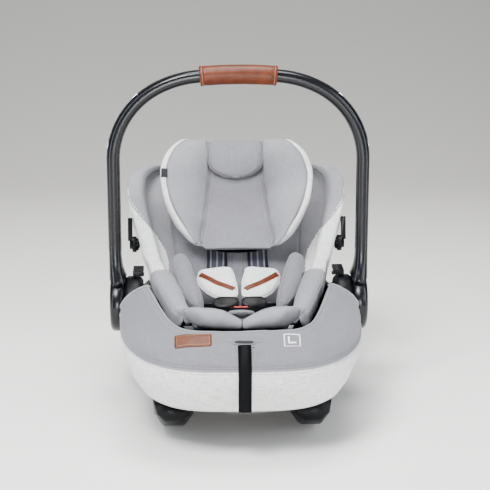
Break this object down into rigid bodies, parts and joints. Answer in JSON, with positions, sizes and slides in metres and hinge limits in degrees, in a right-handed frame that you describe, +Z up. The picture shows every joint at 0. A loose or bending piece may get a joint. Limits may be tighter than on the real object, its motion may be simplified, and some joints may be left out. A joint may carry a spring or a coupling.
{
  "type": "infant car seat",
  "caption": "Rear-facing infant carrier with a rocker-bottomed tub, reclining padded seat, sliding headrest, harness and swinging carry handle.",
  "frame": {"origin": "on the floor, at the centre of the footprint", "axes": "+Z up; +Y towards the child's head; X across, the left and right sides mirror each other"},
  "size_m": [0.44, 0.6435, 0.5745],
  "materials": {
    "shell_plastic": "fine-textured moulded polypropylene, nearly black",
    "handle_plastic": "satin black tube",
    "grey_fabric": "smooth grey knitted cover fabric",
    "melange_fabric": "off-white melange weave with faint grey slubs",
    "light_fabric": "light grey knitted fabric",
    "leather": "tan synthetic leather with stitching",
    "chrome_trim": "bright trim strip",
    "steel": "zinc-plated steel",
    "rubber": "matt rubber",
    "webbing_black": "black woven webbing",
    "webbing_grey": "dark grey woven webbing",
    "gloss_black": "gloss black plastic",
    "red_plastic": "red release button",
    "foam": "expanded foam, beaded"
  },
  "bodies": {
    "carrier": {"carrier_shell": "shell_plastic", "hub_mount_left": "shell_plastic", "hub_mount_right": "shell_plastic", "side_cover_upper": "grey_fabric", "side_cover_lower": "melange_fabric", "rocker_rail_left": "shell_plastic", "rocker_rail_right": "shell_plastic", "foot_pads": "rubber", "latch_bars": "steel", "belt_guide_left": "shell_plastic", "belt_guide_right": "shell_plastic", "adjuster_housing": "shell_plastic", "adjuster_strap": "webbing_black", "leather_label": "leather"},
    "adjuster_button": {"adjuster_button": "shell_plastic"},
    "release_lever": {"release_lever": "shell_plastic"},
    "handle": {"handle_bar": "handle_plastic", "handle_grip": "leather", "handle_trim_left": "chrome_trim", "handle_trim_right": "chrome_trim", "handle_hub_left": "handle_plastic", "handle_hub_right": "handle_plastic", "button_springs": "steel"},
    "handle_button_left": {"handle_button_left": "handle_plastic", "lock_gear_left": "steel"},
    "handle_button_right": {"handle_button_right": "handle_plastic", "lock_gear_right": "steel"},
    "seat": {"seat_shell": "shell_plastic", "recline_pins": "shell_plastic", "foam_liners": "foam", "wing_cover_left": "melange_fabric", "wing_cover_right": "melange_fabric", "wing_liner_left": "grey_fabric", "wing_liner_right": "grey_fabric", "side_roll_left": "light_fabric", "side_roll_right": "light_fabric", "back_pad": "grey_fabric", "seat_pad": "grey_fabric", "side_insert_left": "grey_fabric", "side_insert_right": "grey_fabric", "front_bolster_left": "light_fabric", "front_bolster_right": "light_fabric", "shoulder_strap_left": "webbing_grey", "shoulder_strap_right": "webbing_grey", "shoulder_pad_left": "melange_fabric", "shoulder_pad_right": "melange_fabric", "lap_straps": "webbing_grey", "buckle_tongues": "gloss_black", "buckle_body": "gloss_black", "crotch_pad": "grey_fabric", "harness_yoke": "steel"},
    "buckle_button": {"buckle_button": "red_plastic"},
    "recline_lever": {"recline_lever": "shell_plastic"},
    "canopy_hinge_left": {"canopy_hinge_left": "shell_plastic"},
    "canopy_hinge_right": {"canopy_hinge_right": "shell_plastic"},
    "headrest": {"headrest_shell": "shell_plastic", "headrest_border": "melange_fabric", "headrest_pad": "grey_fabric", "headrest_pillow": "light_fabric"},
    "headrest_lever": {"headrest_lever": "shell_plastic"}
  },
  "joints": [
    {"name": "handle_swing", "type": "hinge", "parent": "carrier", "child": "handle", "pos_m": [0, 0, 0.166], "axis": [-1, 0, 0], "range_deg": [0, 105]},
    {"name": "seat_recline", "type": "hinge", "parent": "carrier", "child": "seat", "pos_m": [0, 0, 0.166], "axis": [-1, 0, 0], "range_deg": [0, 17]},
    {"name": "headrest_slide", "type": "slide", "parent": "seat", "child": "headrest", "axis": [0, 0.7431, 0.6691], "range_m": [0, 0.05]},
    {"name": "handle_button_left_press", "type": "slide", "parent": "handle", "child": "handle_button_left", "axis": [1, 0, 0], "range_m": [0, 0.0035], "stiffness_N_per_m": 900, "deforming": ["button_springs"]},
    {"name": "handle_button_right_press", "type": "slide", "parent": "handle", "child": "handle_button_right", "axis": [-1, 0, 0], "range_m": [0, 0.0035], "stiffness_N_per_m": 900, "deforming": ["button_springs"]},
    {"name": "canopy_turn_left", "type": "hinge", "parent": "seat", "child": "canopy_hinge_left", "pos_m": [-0.179, 0.084, 0.247], "axis": [-1, 0, 0], "range_deg": [-30, 60]},
    {"name": "canopy_turn_right", "type": "hinge", "parent": "seat", "child": "canopy_hinge_right", "pos_m": [0.179, 0.084, 0.247], "axis": [-1, 0, 0], "range_deg": [-30, 60]},
    {"name": "buckle_press", "type": "slide", "parent": "seat", "child": "buckle_button", "axis": [0, -0.2419, -0.9703], "range_m": [0, 0.003], "stiffness_N_per_m": 900},
    {"name": "adjuster_press", "type": "slide", "parent": "carrier", "child": "adjuster_button", "axis": [0, 0, -1], "range_m": [0, 0.004], "stiffness_N_per_m": 600},
    {"name": "release_lever_pull", "type": "slide", "parent": "carrier", "child": "release_lever", "axis": [0, 0, 1], "range_m": [0, 0.012], "stiffness_N_per_m": 500},
    {"name": "recline_lever_pull", "type": "slide", "parent": "seat", "child": "recline_lever", "axis": [0, 0.7431, 0.6691], "range_m": [0, 0.008], "stiffness_N_per_m": 500},
    {"name": "headrest_lever_pull", "type": "slide", "parent": "headrest", "child": "headrest_lever", "axis": [0, 0.7431, 0.6691], "range_m": [0, 0.006], "stiffness_N_per_m": 500}
  ]
}
